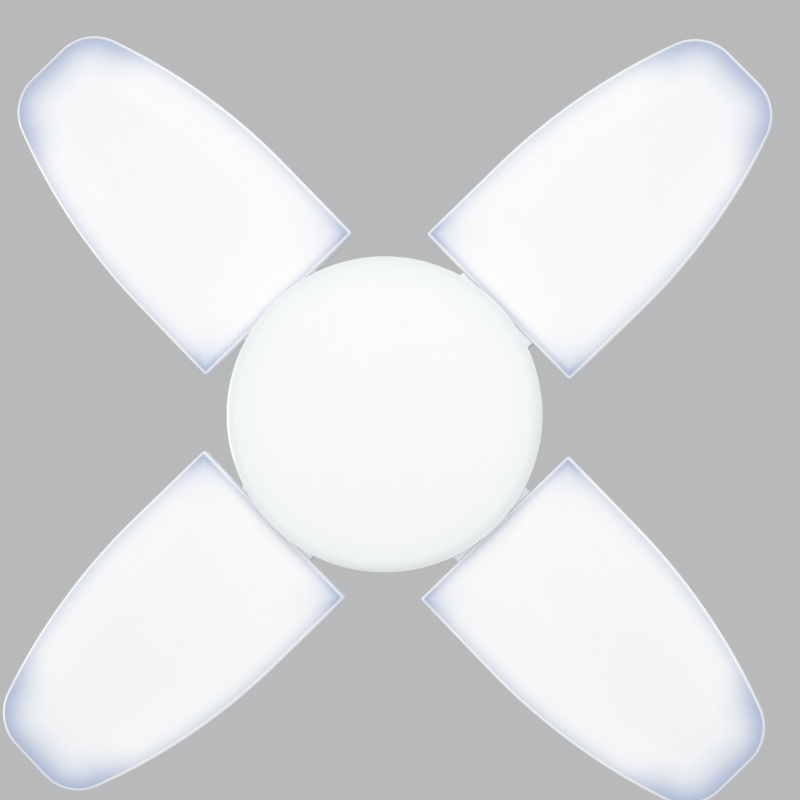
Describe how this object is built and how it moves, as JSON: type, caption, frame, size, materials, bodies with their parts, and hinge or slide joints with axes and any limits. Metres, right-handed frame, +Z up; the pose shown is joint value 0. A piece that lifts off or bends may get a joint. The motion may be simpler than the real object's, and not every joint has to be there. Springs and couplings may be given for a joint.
{
  "type": "deformable garage light",
  "caption": "Screw-cap LED ceiling lamp with a round centre light and leaf-shaped light panels that fold on hinges.",
  "frame": {"origin": "middle of the end contact on the screw cap", "axes": "+Z up along the lamp's axis out of the screw cap, so the light faces -Z; +X along the first panel, with the others every 90 degrees"},
  "size_m": [0.368, 0.368, 0.098],
  "materials": {
    "contact_metal": "nickel-plated contact, lightly worn",
    "insulator": "black moulded insulator, glossy",
    "cap_metal": "nickel-plated sheet, rolled thread",
    "housing_plastic": "white moulded plastic, fine texture",
    "frame_plastic": "white moulded plastic",
    "heat_spreader": "plain aluminium disc",
    "led_board": "aluminium-core board with white solder resist",
    "led_package": "LED packages with phosphor windows",
    "hub_diffuser": "lit frosted polycarbonate, white with a faint cyan edge",
    "blade_diffuser": "lit frosted polycarbonate, white centre and lavender-blue edges",
    "steel_screw": "zinc-plated steel screw",
    "washer_steel": "spring steel washer",
    "driver_board": "green circuit board",
    "capacitor_sleeve": "aluminium can in a dark sleeve",
    "transformer_tape": "ferrite core under yellow tape",
    "copper_winding": "enamelled copper winding on a ferrite core",
    "black_moulding": "moulded component package",
    "fuse_body": "coated ceramic fuse resistor",
    "wire_insulation": "insulated hook-up wire",
    "blade_plastic": "white moulded plastic, fine texture"
  },
  "bodies": {
    "hub": {"cap_contact": "contact_metal", "cap_insulator": "insulator", "cap_shell": "cap_metal", "driver_housing": "housing_plastic", "hub_frame": "frame_plastic", "hub_heat_spreader": "heat_spreader", "hub_led_board": "led_board", "hub_leds": "led_package", "hub_diffuser": "hub_diffuser", "hub_screws": "steel_screw", "driver_board": "driver_board", "driver_capacitor": "capacitor_sleeve", "driver_transformer": "transformer_tape", "driver_choke": "copper_winding", "driver_bridge": "black_moulding", "driver_controller": "black_moulding", "driver_fuse": "fuse_body", "mains_leads": "wire_insulation", "output_leads": "wire_insulation", "hinge_screws_1": "steel_screw", "hinge_screws_2": "steel_screw", "hinge_screws_3": "steel_screw", "hinge_screws_4": "steel_screw", "friction_washers_1": "washer_steel", "friction_washers_2": "washer_steel", "friction_washers_3": "washer_steel", "friction_washers_4": "washer_steel"},
    "blade_1": {"blade_back_1": "blade_plastic", "blade_board_1": "led_board", "blade_leds_1": "led_package", "blade_diffuser_1": "blade_diffuser", "board_screws_1": "steel_screw", "blade_leads_1": "wire_insulation"},
    "blade_2": {"blade_back_2": "blade_plastic", "blade_board_2": "led_board", "blade_leds_2": "led_package", "blade_diffuser_2": "blade_diffuser", "board_screws_2": "steel_screw", "blade_leads_2": "wire_insulation"},
    "blade_3": {"blade_back_3": "blade_plastic", "blade_board_3": "led_board", "blade_leds_3": "led_package", "blade_diffuser_3": "blade_diffuser", "board_screws_3": "steel_screw", "blade_leads_3": "wire_insulation"},
    "blade_4": {"blade_back_4": "blade_plastic", "blade_board_4": "led_board", "blade_leds_4": "led_package", "blade_diffuser_4": "blade_diffuser", "board_screws_4": "steel_screw", "blade_leads_4": "wire_insulation"}
  },
  "joints": [
    {"name": "blade_hinge_1", "type": "hinge", "parent": "hub", "child": "blade_1", "pos_m": [0.0485, 0, -0.076], "axis": [0, -1, 0], "range_deg": [0, 90]},
    {"name": "blade_hinge_2", "type": "hinge", "parent": "hub", "child": "blade_2", "pos_m": [0, 0.0485, -0.076], "axis": [1, 0, 0], "range_deg": [0, 90]},
    {"name": "blade_hinge_3", "type": "hinge", "parent": "hub", "child": "blade_3", "pos_m": [-0.0485, 0, -0.076], "axis": [0, 1, 0], "range_deg": [0, 90]},
    {"name": "blade_hinge_4", "type": "hinge", "parent": "hub", "child": "blade_4", "pos_m": [0, -0.0485, -0.076], "axis": [-1, 0, 0], "range_deg": [0, 90]}
  ]
}
